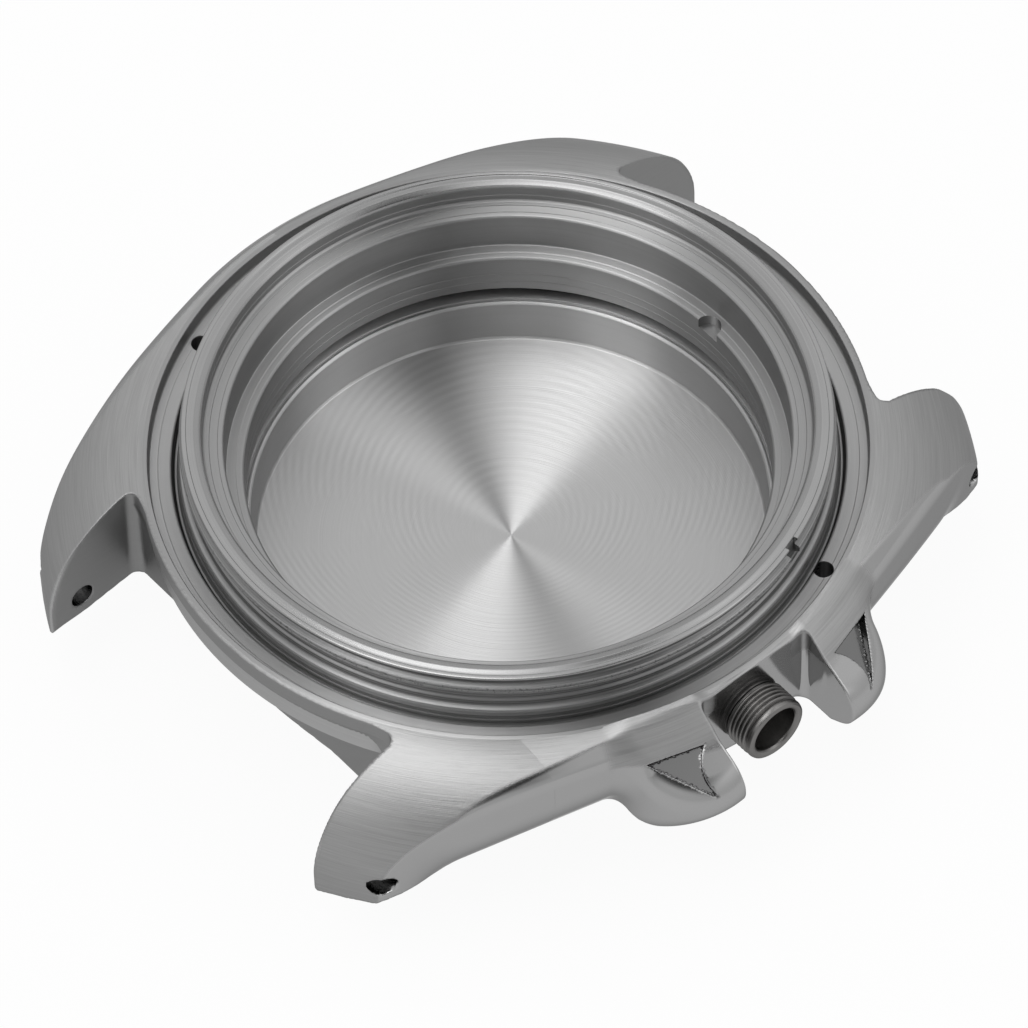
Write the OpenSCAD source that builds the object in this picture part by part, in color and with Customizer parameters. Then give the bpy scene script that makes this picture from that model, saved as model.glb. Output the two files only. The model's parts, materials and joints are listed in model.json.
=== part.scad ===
// Empty watch case: turned and milled middle case, screwed crown tube, round back seal and screw-down back.
// The frame stands on the stem axis: +X leaves through the crown tube, +Y points to 12 o'clock, +Z to the dial side.

/* [Dial side neck] */
// Outside diameter of the neck that carries the bezel
neck_d = 35.1; // [34.6:0.1:35.6]
// Height of the neck above the rim
neck_h = 2.3; // [1.8:0.1:2.8]
// Height of the bezel pilot above the rim ledge
pilot_h = 0.7; // [0.4:0.1:0.9]
// Diameter of the bezel pilot at the foot of the neck
pilot_d = 35.6; // [35.4:0.1:36.0]
// Depth of the grooves turned in the neck
neck_groove = 0.25; // [0.1:0.05:0.3]
// Width of the groove around the foot of the neck
foot_groove_w = 0.4; // [0.3:0.05:0.5]
// Depth of the groove around the foot of the neck
foot_groove_depth = 0.35; // [0.2:0.05:0.5]
// Diameter of the crystal gasket bore
crystal_d = 32.9; // [32.4:0.1:33.2]
// Depth of the crystal seat below the top of the neck
crystal_depth = 1.2; // [0.9:0.05:1.5]
// Width of the inner step of the crystal seat
seat_step_w = 0.75; // [0.5:0.05:0.9]
// Depth of the inner step of the crystal seat
seat_step = 0.08; // [0.05:0.01:0.15]
// Chamfer on the inner edges of the neck
neck_chamfer = 0.15; // [0.05:0.05:0.3]

/* [Dial and movement seats] */
// Diameter of the dial ring bore
ring_d = 30.6; // [30.0:0.1:31.2]
// Depth of the dial ring seat below the crystal seat
ring_depth = 2.45; // [1.8:0.1:2.8]
// Diameter of the movement bore
movement_d = 28.6; // [28.2:0.1:29.4]
// Height of the dial ring seat above the stem axis
stem_drop = 2.35; // [1.8:0.05:2.6]
// Reach of the movement bore below the stem axis
movement_below = 0.3; // [0.1:0.05:0.6]
// Radius of the half-round locating notch in the dial ring seat
notch_r = 0.75; // [0.4:0.05:1.0]
// Depth of the locating notch below the dial ring seat
notch_depth = 0.7; // [0.3:0.1:1.2]
// Angle of the locating notch, from 3 o'clock towards 12 o'clock
notch_angle = 90; // [80:1:100]

/* [Rim] */
// Inside diameter of the rim around the bezel ledge
rim_in_d = 38.9; // [38.4:0.1:39.3]
// Outside diameter of the rim between the lugs
rim_d = 39.9; // [39.6:0.1:40.6]
// Depth of the bezel ledge below the rim
ledge_depth = 0.85; // [0.5:0.05:1.1]
// Depth of the rim's own wall between the lugs
rim_wall_h = 1.0; // [0.6:0.1:1.6]
// Circle of the two holes for the bezel click balls
click_pcd = 37.3; // [37.0:0.1:37.6]
// Diameter of a click ball hole
click_d = 1.1; // [0.8:0.05:1.2]
// Depth of a click ball hole
click_depth = 1.6; // [1.0:0.1:2.0]
// Angle of the first click ball hole, from 3 o'clock towards 12 o'clock
click_angle = 24; // [15:1:40]
// Width of the slot in the lips of the neck
slot_w = 0.9; // [0.6:0.1:1.2]
// Depth of the slot below the top of the neck
slot_depth = 1.3; // [1.0:0.1:1.6]
// Angle of the slot, from 3 o'clock towards 12 o'clock
slot_angle = 19.5; // [15:0.5:25]

/* [Body and lugs] */
// Width of the body from 9 o'clock to 3 o'clock, without crown guards
body_w = 42; // [41.6:0.1:43]
// Height of the body from its underside land to the rim
body_h = 7.0; // [6.8:0.1:8]
// Radius of the side arcs that run out to the lugs
side_r = 85; // [70:1:110]
// Angle from 3 o'clock at which a side arc leaves the round body
side_angle = 14; // [10:1:18]
// Gap between the lugs, the strap width
lug_gap = 22.2; // [21:0.2:23]
// Distance from the case axis to the end of a lug, along its top curve
lug_reach = 25.8; // [25.4:0.1:26.6]
// Distance from the case axis to the flat wall between the lugs
gap_wall = 17.1; // [16.9:0.1:17.6]
// Radius of the corners between the lugs and the wall
root_r = 0.7; // [0.4:0.1:1.2]
// Radius of the curve over the top of the case
crown_r = 6.8; // [6.4:0.1:7.2]
// Drop of the lug tips below the underside land
lug_drop = 0.95; // [0.5:0.05:1.2]
// Distance of the spring bar holes from the lug ends, along the lugs
bar_in = 2.29; // [1.9:0.01:2.9]
// Height of the spring bar holes above the lug tips' underside
bar_up = 1.75; // [1.4:0.05:2.2]
// Diameter of the spring bar holes
bar_d = 1.4; // [1.0:0.1:1.6]

/* [Bevels] */
// Height from the rim to the crease of the side bevel
bevel_drop = 1.1; // [0.9:0.1:1.5]
// Rise of the side bevel per millimetre inwards
bevel_slope = 1.2; // [1:0.1:1.5]
// Radius over which the bevel falls towards a lug tip
bevel_r = 28; // [24:1:34]
// Distance from the case axis at which the bevel starts to fall
bevel_y = 10.5; // [9:0.5:12]
// Distance of the flank's lower edge from the case axis, beside the guards
flank_foot_x = 17.9; // [17.7:0.05:18.2]
// Angle of the flank's lower edge to the 12 o'clock direction
flank_yaw = 14.2; // [13:0.2:16]
// Angle by which the lowest part of the flank leans in
flank_lean = 32; // [28:1:38]

/* [Crown side] */
// Distance from the case axis to the flat crown seat
seat_x = 19.9; // [19.8:0.05:20.2]
// Width of the crown seat between the guards
seat_w = 7.5; // [7:0.1:8]
// Radius of the crown seat's corners
seat_corner = 0.4; // [0.2:0.1:0.6]
// Reach of the crown guards from the case axis
guard_x = 23.9; // [23:0.1:24.5]
// Radius of a guard's tip
guard_r = 1.2; // [1:0.1:1.4]
// Distance from the stem axis to the outer end of a guard
guard_y = 9.2; // [8.6:0.1:9.8]
// Drop of a guard's ridge below the rim where it leaves the body
guard_drop = 0.8; // [0.6:0.1:1.2]
// Drop of a guard's outer end below the rim
guard_fall = 2.0; // [1.6:0.1:2.4]
// Depth of the three-cornered facet in each guard
facet_depth = 0.45; // [0.2:0.05:0.6]
// Diameter over the crown tube's thread
tube_d = 3.9; // [3.6:0.05:4.1]
// Diameter of the crown tube's shank in the case wall
shank_d = 2.3; // [2.1:0.05:2.35]
// Diameter of the crown tube's bore
tube_bore_d = 2.8; // [2.6:0.05:2.9]
// Thickness of the ring at the bottom of the crown tube's bore
tube_base = 0.3; // [0.2:0.05:0.5]
// Diameter of the narrower bore through the crown tube's shank
shank_bore_d = 1.6; // [1.4:0.05:1.7]
// Diameter of the stem's passage through the wall of the movement bore
stem_d = 1.0; // [0.9:0.05:1.0]
// Length of the crown tube outside the crown seat
tube_out = 2.0; // [1.6:0.1:2.4]
// Pitch of the crown tube's thread
tube_pitch = 0.35; // [0.3:0.01:0.45]
// Depth of the crown tube's thread
tube_thread = 0.16; // [0.1:0.01:0.2]
// Wall left between the back's thread and the crown tube's shank
tube_wall = 0.4; // [0.3:0.05:0.6]

/* [Screw-down back] */
// Outside diameter of the back's flange
back_d = 34.2; // [33.8:0.1:34.6]
// Diameter over the back's thread
back_thread_d = 31.9; // [31.6:0.1:32.2]
// Inside diameter of the back at its rim
back_in_d = 28.2; // [27.8:0.1:28.6]
// Depth of the seal's shoulder below the end of the movement bore
seal_drop = 0.28; // [0.24:0.02:0.4]
// Thickness of the back under its inner floor
back_floor_t = 0.9; // [0.7:0.05:1.1]
// Thickness of the back's flange
back_flange_t = 1.75; // [1.5:0.05:1.9]
// Pitch of the back's thread
back_pitch = 0.5; // [0.4:0.05:0.75]
// Depth of the back's thread
back_thread = 0.25; // [0.15:0.05:0.35]
// Number of key notches around the back
key_count = 6; // [4:1:8]
// Width of a key notch
key_w = 3.0; // [2.4:0.1:4]
// Depth of a key notch, up into the flange
key_depth = 0.9; // [0.6:0.1:1.2]
// Length of a key notch from the flange's edge
key_len = 1.6; // [1.2:0.1:2.0]
// Width of the seal across its ring
seal_w = 0.9; // [0.7:0.05:1.0]
// Thickness of the seal
seal_t = 0.7; // [0.6:0.05:0.9]
// Width of the conical edge around the back's outer face
back_edge = 0.8; // [0.4:0.1:1.0]
// Distance of the fine groove in the back's rim from its inner edge
rim_groove = 0.3; // [0.25:0.05:0.4]
// Lead-in chamfer of the back's threads
thread_lead = 0.3; // [0.2:0.05:0.4]

/* [Fits] */
// Radial clearance between the crests of the case and back threads
thread_gap = 0.05; // [0.03:0.01:0.1]
// Clearance of the flat faces that meet at the back
face_gap = 0.02; // [0.01:0.01:0.05]
// Radial clearance of the crown tube's shank in the case wall
shank_gap = 0.01; // [0.01:0.01:0.03]
// Small break on turned edges
edge_break = 0.12; // [0.08:0.01:0.15]

/* [Hidden] */
steel = [0.74, 0.75, 0.76];
dark_steel = [0.36, 0.35, 0.35];
seal_black = [0.05, 0.05, 0.055];
$fn = 96;

// Heights, from the stem axis
ring_z = stem_drop;
crystal_z = ring_z + ring_depth;
neck_z = crystal_z + crystal_depth;
rim_z = neck_z - neck_h;
ledge_z = rim_z - ledge_depth;
pilot_z = ledge_z + pilot_h;
land_z = rim_z - body_h;
lug_z = land_z - lug_drop;
crease_z = rim_z - bevel_drop;
bar_z = lug_z + bar_up;
bore_end_z = -movement_below;
shoulder_z = bore_end_z - seal_drop;
seal_z = shoulder_z - face_gap - seal_t;
back_rim_z = seal_z - face_gap;
flange_z = land_z - face_gap;
back_z = flange_z - back_flange_t;
floor_z = back_z + back_floor_t;

// Radii
neck_r = neck_d / 2;
pilot_r = pilot_d / 2;
rim_in_r = rim_in_d / 2;
rim_r = rim_d / 2;
body_r = body_w / 2;
movement_r = movement_d / 2;
crystal_r = crystal_d / 2;
ring_r = ring_d / 2;
back_r = back_d / 2;
back_thread_r = back_thread_d / 2;
thread_bore_r = back_thread_r + thread_gap;
seal_r = thread_bore_r - face_gap;
land_r = back_r + edge_break;
shank_r = shank_d / 2;
tube_r = tube_d / 2;
// Both ends of the crown tube
tube_in_x = thread_bore_r + back_thread + tube_wall;
tube_end_x = seat_x + tube_out;

// Curve over the top: it starts level with the rim and ends at the lug tips
crown_cx = lug_reach - crown_r;
crown_cz = rim_z - sqrt(crown_r * crown_r - pow(rim_in_r - crown_cx, 2));
// Centre of a side arc, for the quadrant towards +X and +Y
side_c = (side_r - body_r) * [-cos(side_angle), -sin(side_angle)];
side_join_y = body_r * sin(side_angle);
// Where a lug ends beside the strap, and its spring bar hole
lug_end_y = sqrt(pow(lug_reach, 2) - pow(lug_gap / 2, 2));
bar_y = lug_end_y - bar_in;
// Direction of the flank at the middle of a lug
mid_y = (bevel_y + bar_y) / 2;
flank_angle = asin((mid_y - side_c[1]) / side_r);
flank_x = side_c[0] + side_r * cos(flank_angle);
// The underside rises in an arch from the lug tips to the middle of the sides
arch_rise = lug_drop * pow(gap_wall, 2) / (pow(lug_end_y, 2) - pow(gap_wall, 2));
arch_z = land_z + arch_rise;
arch_r = pow(gap_wall, 2) / (2 * arch_rise);
wall_foot_r = gap_wall + seat_corner;
// Lengths of cutting bodies: past the case, past its height, past a face
big = 3 * body_r;
tall = 2 * body_h;
margin = body_h / 7;
eps = edge_break / 12;

// Height of a band on the neck, as a share of the neck's height above the rim
function neck_band(share) = rim_z + share * neck_h;

// Both lug ends, or both guards, from one
module both_y() {
    children();
    mirror([0, 1, 0]) children();
}

module all_quadrants() {
    both_y() children();
    mirror([1, 0, 0]) both_y() children();
}

// The curved top of the body, turned about the case axis, and its underside
module turned_blank() {
    rotate_extrude()
        union() {
            intersection() {
                translate([crown_cx, crown_cz]) circle(r = crown_r);
                translate([rim_in_r, lug_z]) square([big, big]);
            }
            translate([movement_r - margin, lug_z])
                square([rim_in_r - movement_r + margin + eps, ledge_z - lug_z]);
        }
}

// One side arc with its bevel, as a large turned disc that bounds the blank
module side_disc() {
    top = rim_z + body_h;
    rotate_extrude()
        polygon([
            [0, lug_z - margin],
            [side_r, lug_z - margin],
            [side_r, crease_z],
            [side_r - (top - crease_z) / bevel_slope, top],
            [0, top]
        ]);
}

// What lies outside the round middle of a side
module round_side_cut() {
    top = rim_z + body_h;
    intersection() {
        translate([0, -side_join_y, lug_z - margin])
            cube([big, 2 * side_join_y, tall]);
        rotate_extrude()
            polygon([
                [body_r, lug_z - margin],
                [body_r + crown_r, lug_z - margin],
                [body_r + crown_r, top],
                [body_r - (top - crease_z) / bevel_slope, top],
                [body_r, crease_z]
            ]);
    }
}

// The bevel's fall towards a lug tip: all that lies outside a cone whose axis leaves through the flank
module bevel_cut() {
    reach = body_h;
    cone = reach + margin;
    translate([side_c[0], side_c[1], 0])
        rotate([0, 0, flank_angle])
            translate([side_r, bevel_y - mid_y, crease_z - bevel_r])
                difference() {
                    translate([-reach, 0, 0])
                        cube([2 * reach, 2 * bevel_r, bevel_r + tall]);
                    translate([-cone, 0, 0])
                        rotate([0, 90, 0])
                            cylinder(
                                r1 = bevel_r + cone * bevel_slope,
                                r2 = bevel_r - cone * bevel_slope,
                                h = 2 * cone
                            );
                }
}

// The lowest part of the flank leans in between the guards and the lug tip
module flank_cut() {
    translate([flank_foot_x, guard_y, arch_z])
        rotate([0, 0, flank_yaw])
            rotate([0, flank_lean, 0])
                translate([0, -big / 2, -big / 2])
                    cube([big / 2, big, big]);
}

// The space between the lugs, with rounded roots, clear of the rim and the tapered wall under it
module lug_space() {
    half = lug_gap / 2;
    difference() {
        translate([0, 0, lug_z - margin])
            union() {
                translate([-half, gap_wall + root_r, 0])
                    cube([lug_gap, big, tall]);
                translate([root_r - half, gap_wall, 0])
                    cube([lug_gap - 2 * root_r, big, tall]);
                for (side = [-1, 1])
                    translate([side * (half - root_r), gap_wall + root_r, 0])
                        cylinder(r = root_r, h = tall);
            }
        translate([0, 0, rim_z - rim_wall_h])
            cylinder(r = rim_r, h = tall);
        translate([0, 0, land_z])
            cylinder(r1 = wall_foot_r, r2 = rim_r, h = body_h - rim_wall_h + eps);
    }
}

// The arched underside outside the land that the back closes against
module underside_cut() {
    difference() {
        translate([-big / 2, 0, arch_z - arch_r])
            rotate([0, 90, 0])
                cylinder(r = arch_r, h = big, $fn = 360);
        translate([0, 0, land_z])
            cylinder(r = land_r, h = big);
    }
}

// A crown guard: a nose that is steep towards the crown and falls away outwards.
// Places along the nose are multiples of its tip's radius.
module guard() {
    inner_y = seat_w / 2;
    tip_x = guard_x - guard_r;
    noses = [[0, 0.92, -0.55], [0.75, 1.8, -1], [2, 2.5, -1.25]];
    hull() {
        translate([tip_x - 0.2 * guard_r, inner_y, -0.12 * guard_r])
            rotate([-90, 0, 0])
                cylinder(r = guard_r, h = 0.4 * guard_r, $fn = 40);
        for (nose = noses)
            translate([tip_x - nose[0] * guard_r, inner_y + nose[1] * guard_r, nose[2] * guard_r])
                sphere(r = guard_r, $fn = 32);
        translate([seat_x - 1.35 * guard_r, inner_y, land_z + edge_break])
            cube([guard_r / 3, 1.6 * guard_r, body_h - guard_drop - edge_break]);
        translate([seat_x - 1.85 * guard_r, guard_y - 0.4 * guard_r, rim_z - guard_fall - body_h / 2])
            cube([guard_r, 0.4 * guard_r, body_h / 2]);
    }
}

// The flat seat that the crown closes against
module crown_seat_cut() {
    inner_y = seat_w / 2;
    translate([seat_x, 0, lug_z - margin])
        union() {
            translate([seat_corner, -inner_y, 0])
                cube([big, seat_w, tall]);
            translate([0, seat_corner - inner_y, 0])
                cube([big, seat_w - 2 * seat_corner, tall]);
            for (side = [-1, 1])
                translate([seat_corner, side * (inner_y - seat_corner), 0])
                    cylinder(r = seat_corner, h = tall);
        }
}

// The three-cornered facet cut in a guard beside its ridge
module facet_cut() {
    corners = guard_r * [[0.4, -0.4], [2.1, 1.1], [-0.8, 2.4]];
    tilt = -20;
    turn = 30;
    translate([guard_x - 2.4 * guard_r, (seat_w + guard_r) / 2, rim_z - 1.5 * guard_drop - facet_depth])
        rotate([tilt, turn, 0])
            linear_extrude(height = body_h / 2)
                polygon(corners);
}

// Neck, turned with its grooves and lips
module neck() {
    deep = neck_r - neck_groove;
    core = crystal_r - seat_step_w - neck_chamfer - margin;
    rotate_extrude()
        polygon([
            [core, ledge_z - eps],
            [pilot_r, ledge_z - eps],
            [pilot_r, pilot_z],
            [neck_r - edge_break, pilot_z + edge_break],
            [neck_r - edge_break, neck_band(0.11)],
            [deep, neck_band(0.18)],
            [deep, neck_band(0.42)],
            [neck_r + edge_break, neck_band(0.53)],
            [neck_r + edge_break, neck_band(0.64)],
            [neck_r, neck_band(0.7)],
            [deep + edge_break / 2, neck_band(0.76)],
            [deep + edge_break / 2, neck_band(0.88)],
            [neck_r, neck_band(0.92)],
            [neck_r, neck_z - edge_break / 2],
            [neck_r - edge_break / 2, neck_z],
            [core, neck_z]
        ]);
}

// Everything that is bored from the dial side and the back
module bores() {
    rotate_extrude()
        polygon([
            [0, neck_z + margin],
            [crystal_r + neck_chamfer + margin, neck_z + margin],
            [crystal_r, neck_z - neck_chamfer],
            [crystal_r, crystal_z],
            [ring_r + seat_step_w, crystal_z],
            [ring_r + seat_step_w, crystal_z - seat_step],
            [ring_r + neck_chamfer, crystal_z - seat_step],
            [ring_r, crystal_z - seat_step - neck_chamfer],
            [ring_r, ring_z],
            [movement_r + edge_break, ring_z],
            [movement_r, ring_z - edge_break],
            [movement_r, bore_end_z],
            [seal_r - seal_w - edge_break, bore_end_z - edge_break],
            [seal_r - seal_w - edge_break, shoulder_z],
            [thread_bore_r, shoulder_z],
            [thread_bore_r, land_z + thread_lead],
            [thread_bore_r + thread_lead, land_z],
            [thread_bore_r + thread_lead, lug_z - margin],
            [0, lug_z - margin]
        ]);
}

// The groove around the foot of the neck
module foot_groove() {
    rotate_extrude()
        polygon([
            [pilot_r + edge_break / 2, ledge_z + margin],
            [pilot_r + edge_break / 2, ledge_z],
            [pilot_r + edge_break, ledge_z - foot_groove_depth],
            [pilot_r + foot_groove_w - edge_break, ledge_z - foot_groove_depth],
            [pilot_r + foot_groove_w, ledge_z],
            [pilot_r + foot_groove_w, ledge_z + margin]
        ]);
}

// Turned grooves that stand for a thread, in a bore or on a shaft
module thread_grooves(root_r, crest_r, pitch, low, high) {
    turns = floor((high - low) / pitch);
    // Half widths of a groove at its bottom and at its mouth
    bottom = 0.08 * pitch;
    mouth = 0.42 * pitch;
    past = crest_r > root_r ? 2 * eps : -2 * eps;
    for (turn = [0 : turns - 1])
        translate([0, 0, low + (turn + 0.5) * pitch])
            rotate_extrude()
                polygon([
                    [crest_r + past, -mouth],
                    [root_r, -bottom],
                    [root_r, bottom],
                    [crest_r + past, mouth]
                ]);
}

// The case without its bores: top curve, sides, lugs, neck and guards
module case_block() {
    difference() {
        intersection() {
            turned_blank();
            translate([side_c[0], side_c[1], 0]) side_disc();
            translate([side_c[0], -side_c[1], 0]) side_disc();
            translate([-side_c[0], side_c[1], 0]) side_disc();
            translate([-side_c[0], -side_c[1], 0]) side_disc();
        }
        round_side_cut();
        mirror([1, 0, 0]) round_side_cut();
        all_quadrants() bevel_cut();
        all_quadrants() flank_cut();
        both_y() lug_space();
    }
    neck();
    both_y() guard();
}

// Spring bar holes, through both lugs of a pair
module bar_holes() {
    both_y()
        translate([-big / 2, bar_y, bar_z])
            rotate([0, 90, 0])
                cylinder(r = bar_d / 2, h = big);
}

// Seat of the crown tube's shank, and the stem's passage into the movement bore
module stem_holes() {
    rotate([0, 90, 0])
        union() {
            translate([0, 0, tube_in_x - face_gap])
                cylinder(r = shank_r + shank_gap, h = big);
            translate([0, 0, movement_r - margin])
                cylinder(r = stem_d / 2, h = body_r - movement_r);
        }
}

// Blind holes for the bezel's click balls
module click_holes() {
    for (half = [0, 1])
        rotate([0, 0, click_angle + half * 180])
            translate([click_pcd / 2, 0, ledge_z - click_depth])
                cylinder(r = click_d / 2, h = click_depth + margin, $fn = 48);
}

// Slot in the lips of the neck
module lip_slot() {
    rotate([0, 0, slot_angle])
        translate([neck_r - neck_groove, -slot_w / 2, neck_z - slot_depth])
            cube([foot_groove_w + neck_groove, slot_w, slot_depth + margin]);
}

// Locating notch beside the movement bore
module locating_notch() {
    rotate([0, 0, notch_angle])
        translate([movement_r, 0, ring_z - notch_depth])
            cylinder(r = notch_r, h = notch_depth + edge_break, $fn = 48);
}

module mid_case() {
    color(steel)
        difference() {
            case_block();
            underside_cut();
            bores();
            foot_groove();
            thread_grooves(thread_bore_r + back_thread, thread_bore_r, back_pitch,
                land_z + thread_lead, shoulder_z - thread_lead);
            crown_seat_cut();
            both_y() facet_cut();
            bar_holes();
            stem_holes();
            click_holes();
            lip_slot();
            locating_notch();
        }
}

module crown_tube() {
    thread_x = seat_x + face_gap;
    bore_r = tube_bore_d / 2;
    color(dark_steel)
        rotate([0, 90, 0])
            difference() {
                union() {
                    translate([0, 0, tube_in_x])
                        cylinder(r = shank_r, h = seat_x - tube_in_x + edge_break);
                    translate([0, 0, thread_x])
                        cylinder(r = tube_r, h = tube_end_x - thread_x - tube_thread);
                    translate([0, 0, tube_end_x - tube_thread])
                        cylinder(r1 = tube_r, r2 = tube_r - tube_thread, h = tube_thread);
                }
                thread_grooves(tube_r - tube_thread, tube_r, tube_pitch,
                    seat_x + edge_break, tube_end_x - 2 * edge_break);
                translate([0, 0, seat_x + tube_base])
                    cylinder(r = bore_r, h = big);
                translate([0, 0, tube_in_x - margin])
                    cylinder(r = shank_bore_d / 2, h = big);
                translate([0, 0, tube_end_x - edge_break])
                    cylinder(r1 = bore_r, r2 = bore_r + edge_break + eps, h = edge_break + eps);
            }
}

module back_seal() {
    color(seal_black)
        translate([0, 0, seal_z])
            difference() {
                cylinder(r = seal_r, h = seal_t);
                translate([0, 0, -margin])
                    cylinder(r = seal_r - seal_w, h = seal_t + 2 * margin);
            }
}

module case_back() {
    in_r = back_in_d / 2;
    root_r = back_thread_r - back_thread;
    groove_r = in_r + rim_groove;
    thread_low = flange_z + thread_lead;
    color(steel)
        difference() {
            rotate_extrude()
                polygon([
                    [0, back_z],
                    [back_r - back_edge, back_z],
                    [back_r, flange_z - 2 * edge_break],
                    [back_r, flange_z - edge_break],
                    [back_r - edge_break, flange_z],
                    [root_r, flange_z],
                    [root_r, thread_low],
                    [back_thread_r, thread_low],
                    [back_thread_r, back_rim_z - edge_break],
                    [back_thread_r - edge_break, back_rim_z],
                    [groove_r + edge_break, back_rim_z],
                    [groove_r + edge_break / 2, back_rim_z - edge_break],
                    [groove_r - edge_break / 2, back_rim_z - edge_break],
                    [groove_r - edge_break, back_rim_z],
                    [in_r + edge_break, back_rim_z],
                    [in_r, back_rim_z - edge_break],
                    [in_r - edge_break, floor_z + edge_break],
                    [in_r - 2 * edge_break, floor_z],
                    [0, floor_z]
                ]);
            thread_grooves(root_r, back_thread_r, back_pitch, thread_low, back_rim_z - thread_lead);
            for (key = [0 : key_count - 1])
                rotate([0, 0, (key + 0.5) * 360 / key_count])
                    translate([back_r - key_len, -key_w / 2, back_z - margin])
                        cube([key_len + margin, key_w, key_depth + margin]);
        }
}

mid_case();
crown_tube();
back_seal();
case_back();
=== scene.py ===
"""Empty round watch case: looks for the middle case, the crown tube, the seal and the screw-down back.

Sizes in the helpers are in millimetres from the stem axis, and become metres when a mesh is made.
"""

import json
import math

import bpy
import numpy as np
from bpy.props import FloatProperty, FloatVectorProperty, IntProperty, PointerProperty
from bpy.types import Operator, Panel, PropertyGroup
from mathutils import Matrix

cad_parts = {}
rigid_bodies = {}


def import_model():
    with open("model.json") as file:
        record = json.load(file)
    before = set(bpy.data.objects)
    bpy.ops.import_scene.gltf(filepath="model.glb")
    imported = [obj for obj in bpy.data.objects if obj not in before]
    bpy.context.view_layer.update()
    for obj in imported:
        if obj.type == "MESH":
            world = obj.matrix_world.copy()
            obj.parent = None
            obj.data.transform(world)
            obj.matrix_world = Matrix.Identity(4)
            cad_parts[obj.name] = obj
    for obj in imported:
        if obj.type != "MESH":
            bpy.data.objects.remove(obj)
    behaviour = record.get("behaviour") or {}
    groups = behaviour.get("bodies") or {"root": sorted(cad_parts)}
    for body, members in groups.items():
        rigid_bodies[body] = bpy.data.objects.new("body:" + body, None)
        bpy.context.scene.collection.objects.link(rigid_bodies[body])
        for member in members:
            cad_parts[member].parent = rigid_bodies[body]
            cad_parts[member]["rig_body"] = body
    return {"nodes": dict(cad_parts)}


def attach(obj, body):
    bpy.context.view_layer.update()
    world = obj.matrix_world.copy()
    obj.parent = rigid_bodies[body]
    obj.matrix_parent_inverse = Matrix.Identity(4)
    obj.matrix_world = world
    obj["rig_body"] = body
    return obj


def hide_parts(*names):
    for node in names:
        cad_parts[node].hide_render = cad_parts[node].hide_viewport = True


bl_info = {
    "name": "Watch case",
    "version": (1, 0, 0),
    "blender": (4, 5, 0),
    "location": "View3D > Sidebar > Watch case",
    "description": "Makes an empty watch case with its crown tube, seal and screw-down back",
    "category": "Object",
}

MM = 0.001
TAU = 2 * math.pi

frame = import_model()

# Heights in millimetres from the stem axis
RIM_Z = 3.7
LEDGE_Z = 2.85
NECK_Z = 6.0
CRYSTAL_Z = 4.8
RING_Z = 2.35
BORE_END_Z = -0.3
SHOULDER_Z = -0.58
LAND_Z = -3.3
PLATE_Z = 1.0

# Radii and distances from the case axis in millimetres
LEDGE_R = 19.45
SKIN_IN_R = 19.62
LIP_R = 19.74
CORE_R = 17.2
PILOT_R = 17.8
CRYSTAL_R = 16.45
RING_R = 15.3
MOVEMENT_R = 14.3
THREAD_BORE_R = 16.0
LUG_HALF = 11.1
GAP_WALL = 17.1
BODY_R = 21.0
SIDE_R = 85.0
SIDE_ANGLE = math.radians(14)
CURVE_R = 6.8
LUG_REACH = 25.8
BEVEL_R = 28
FOOT_X = 17.9
FOOT_Y = 9.2
ARCH_Z = -2.19
ARCH_R = 131.6
# The section of the case's top is an arc around this place
CURVE_X = LUG_REACH - CURVE_R
CURVE_Z = RIM_Z - math.sqrt(CURVE_R ** 2 - (LEDGE_R - CURVE_X) ** 2)
GUARD_X = 19.85
GUARD_Y = 4.25
GUARD_R = 3.98
SEAT_X = 19.9
SEAT_HALF = 3.75
BAR_Y = 21.0
BAR_Z = -2.5
BAR_R = 0.7
SIDE_CUT_X = 14.5
SIDE_CUT_Y = 12.3
CLICK_R = 18.65
CLICK_ANGLE = math.radians(24)
SLOT_ANGLE = math.radians(19.5)

# Direction of the picture's right-hand side, from 3 o'clock towards 12 o'clock
SIDEWAYS = math.radians(51.2)
# Level part of the direction to the camera, which stands 51.8 degrees above the rim
VIEW_LEVEL = 0.618

# The camera, with its place in metres and its turn in degrees
CAMERA_LENS = 267.41
CAMERA_PLACE = (0.20097797, -0.16122143, 0.32472949)
CAMERA_TURN = (38.21474386, 1.20219293, 49.69470572)

# The floor leaves room for the back, which comes down 2.5 mm as it unscrews
FLOOR_Z = -7.8


class CaseSizes(PropertyGroup):
    """Sizes of the finish that a maker would change."""

    edge: FloatProperty(
        name="Edge rounding",
        description="Radius of the small rounding on milled edges",
        default=0.00009,
        min=0.00002,
        max=0.0003,
        unit="LENGTH",
        precision=5,
    )
    blend: FloatProperty(
        name="Guard blend",
        description="Radius of the hollow where a crown guard runs into the flank",
        default=0.0010,
        min=0.0003,
        max=0.002,
        unit="LENGTH",
        precision=5,
    )
    mesh_step: FloatProperty(
        name="Skin mesh step",
        description="Distance between the points of the body's skin",
        default=0.000125,
        min=0.00012,
        max=0.0006,
        unit="LENGTH",
        precision=5,
    )
    turns: IntProperty(
        name="Steps around",
        description="Number of steps of a turned piece",
        default=360,
        min=90,
        max=720,
    )


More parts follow.
